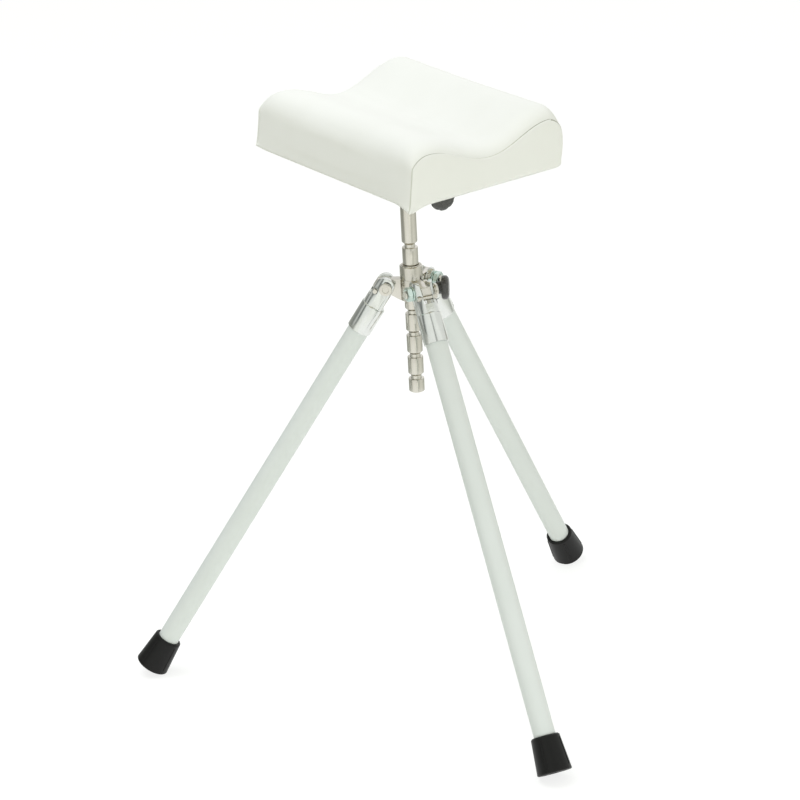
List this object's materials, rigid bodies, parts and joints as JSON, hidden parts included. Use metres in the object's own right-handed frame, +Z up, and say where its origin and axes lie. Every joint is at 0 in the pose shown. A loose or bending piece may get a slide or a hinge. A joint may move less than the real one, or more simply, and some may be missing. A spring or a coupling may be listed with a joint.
{
  "type": "pedicure footrest",
  "caption": "Folding tripod footrest with a wave-topped white cushion on a grooved height post, with a pull knob for height and a clamp knob for tilt.",
  "frame": {"origin": "on the floor, at the middle of the box round the three spread feet", "axes": "+Z up along the post; the cushion's wave runs along X with its low crest at -X, and its sweep along Y with the tilt knob at -Y"},
  "size_m": [0.5384, 0.4956, 0.6228],
  "materials": {
    "white_vinyl": "smooth white vinyl",
    "plywood": "bare plywood",
    "foam": "open-cell foam",
    "bright_steel": "bright nickel-plated",
    "zinc_steel": "zinc-plated",
    "cast_aluminium": "polished casting",
    "grey_paint": "pale grey gloss",
    "black_rubber": "semi-gloss",
    "black_plastic": "gloss"
  },
  "bodies": {
    "hub": {"hub": "bright_steel", "plunger_housing": "zinc_steel", "plunger_nut": "zinc_steel", "plunger_spring": "zinc_steel"},
    "leg_front": {"leg_fork_front": "cast_aluminium", "leg_tube_front": "grey_paint", "foot_front": "black_rubber", "pivot_bolt_front": "bright_steel", "pivot_washer_front": "zinc_steel", "pivot_nut_front": "zinc_steel", "stop_pin_front": "bright_steel"},
    "leg_rear": {"leg_fork_rear": "cast_aluminium", "leg_tube_rear": "grey_paint", "foot_rear": "black_rubber", "pivot_bolt_rear": "bright_steel", "pivot_washer_rear": "zinc_steel", "pivot_nut_rear": "zinc_steel", "stop_pin_rear": "bright_steel"},
    "leg_left": {"leg_fork_left": "cast_aluminium", "leg_tube_left": "grey_paint", "foot_left": "black_rubber", "pivot_bolt_left": "bright_steel", "pivot_washer_left": "zinc_steel", "pivot_nut_left": "zinc_steel", "stop_pin_left": "bright_steel"},
    "swivel": {"guide_bush": "bright_steel"},
    "post": {"post": "bright_steel", "tilt_tube": "bright_steel"},
    "cushion": {"cushion_board": "plywood", "cushion_foam": "foam", "cushion_cover": "white_vinyl", "tilt_ear_near": "zinc_steel", "tilt_ear_far": "zinc_steel", "tilt_washer_near": "zinc_steel", "tilt_washer_far": "zinc_steel", "tilt_nut": "zinc_steel", "ear_screw_near_left": "zinc_steel", "ear_screw_near_right": "zinc_steel", "ear_screw_far_left": "zinc_steel", "ear_screw_far_right": "zinc_steel"},
    "plunger": {"plunger_pin": "zinc_steel", "height_knob": "black_plastic"},
    "tilt_clamp": {"tilt_rod": "zinc_steel", "tilt_knob": "black_plastic"}
  },
  "joints": [
    {"name": "leg_front_fold", "type": "hinge", "parent": "hub", "child": "leg_front", "pos_m": [-0.02175, 0.0306, 0.42468], "axis": [0.9823, -0.1874, 0], "range_deg": [0, 32.84]},
    {"name": "leg_rear_fold", "type": "hinge", "parent": "hub", "child": "leg_rear", "pos_m": [0.00706, 0.0663, 0.42468], "axis": [-0.3907, 0.9205, 0], "range_deg": [0, 32.84]},
    {"name": "leg_left_fold", "type": "hinge", "parent": "hub", "child": "leg_left", "pos_m": [-0.03778, 0.07161, 0.42468], "axis": [-0.5948, -0.8039, 0], "range_deg": [0, 32.84]},
    {"name": "post_swivel", "type": "hinge", "parent": "hub", "child": "swivel", "pos_m": [-0.01688, 0.05614, 0.42468], "axis": [0, 0, 1], "continuous": true},
    {"name": "post_height", "type": "slide", "parent": "swivel", "child": "post", "axis": [0, 0, 1], "range_m": [-0.047, 0.094]},
    {"name": "cushion_tilt", "type": "hinge", "parent": "post", "child": "cushion", "pos_m": [-0.01688, 0.05614, 0.53278], "axis": [0, 1, 0], "range_deg": [-40, 40]},
    {"name": "tilt_knob_turn", "type": "hinge", "parent": "cushion", "child": "tilt_clamp", "pos_m": [-0.01688, 0.05614, 0.53278], "axis": [0, -1, 0], "range_deg": [0, 360]},
    {"name": "plunger_pull", "type": "slide", "parent": "hub", "child": "plunger", "axis": [0.7782, -0.628, 0], "range_m": [0, 0.0035], "stiffness_N_per_m": 2500, "springref_m": -0.004, "deforming": ["plunger_spring"]}
  ]
}
